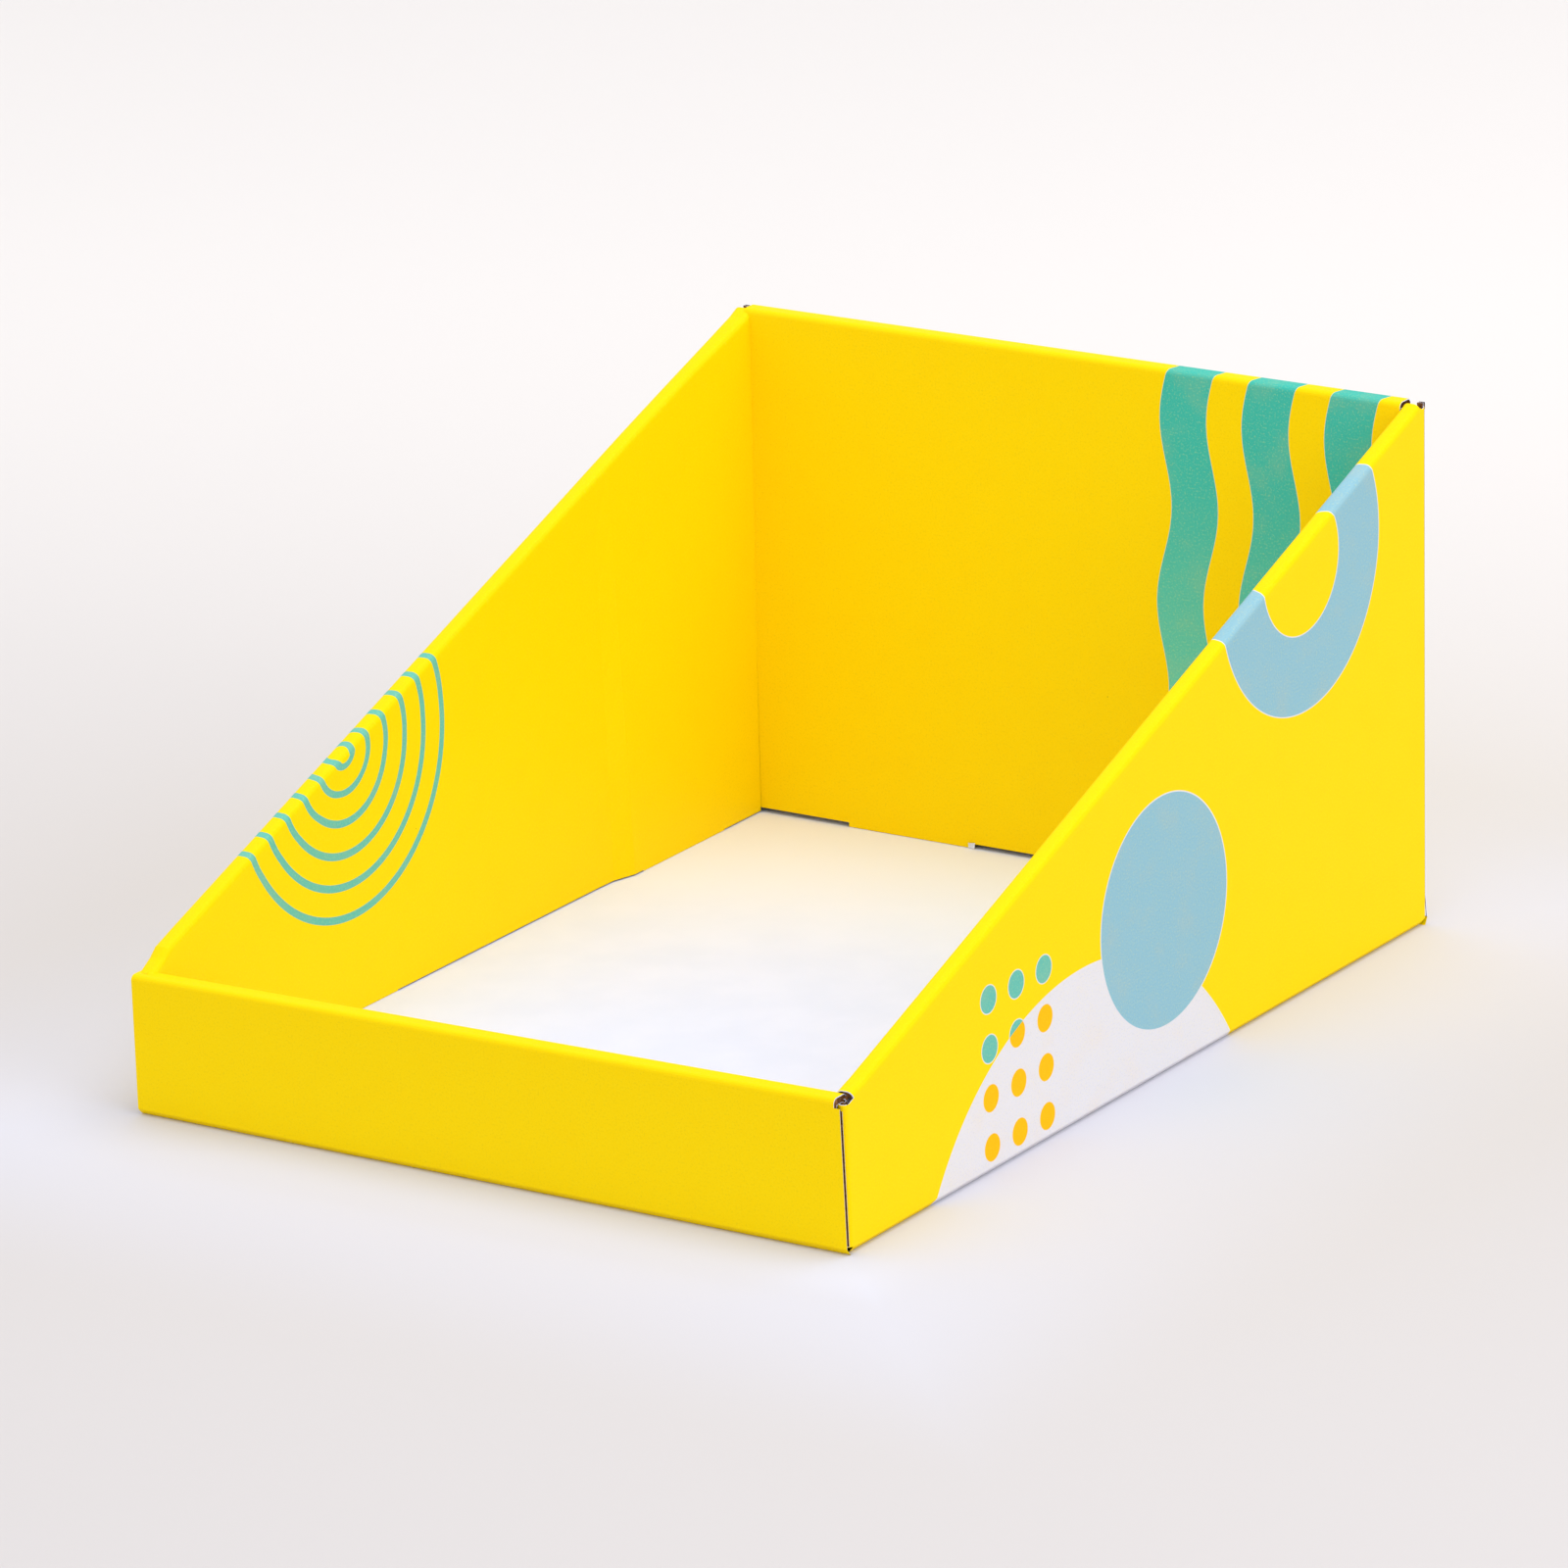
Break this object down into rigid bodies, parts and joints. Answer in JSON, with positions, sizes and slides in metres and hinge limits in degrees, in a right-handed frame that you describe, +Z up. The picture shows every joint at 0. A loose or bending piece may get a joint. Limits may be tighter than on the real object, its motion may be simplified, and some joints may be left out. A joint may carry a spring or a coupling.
{
  "type": "cardboard display stand",
  "caption": "Open counter display tray folded from corrugated board, with a low front lip, slanting double side walls and a tall double rear wall.",
  "frame": {"origin": "middle of the underside", "axes": "+X to the right along the front lip, +Y towards the tall rear wall, +Z up"},
  "size_m": [0.3, 0.4, 0.2],
  "materials": {
    "printed_board": "printed paper liner, flat yellow with simple shapes outside, white liner inside on the floor, brown fluting in the cut edges"
  },
  "bodies": {
    "root": {"display_tray": "printed_board"}
  },
  "joints": []
}
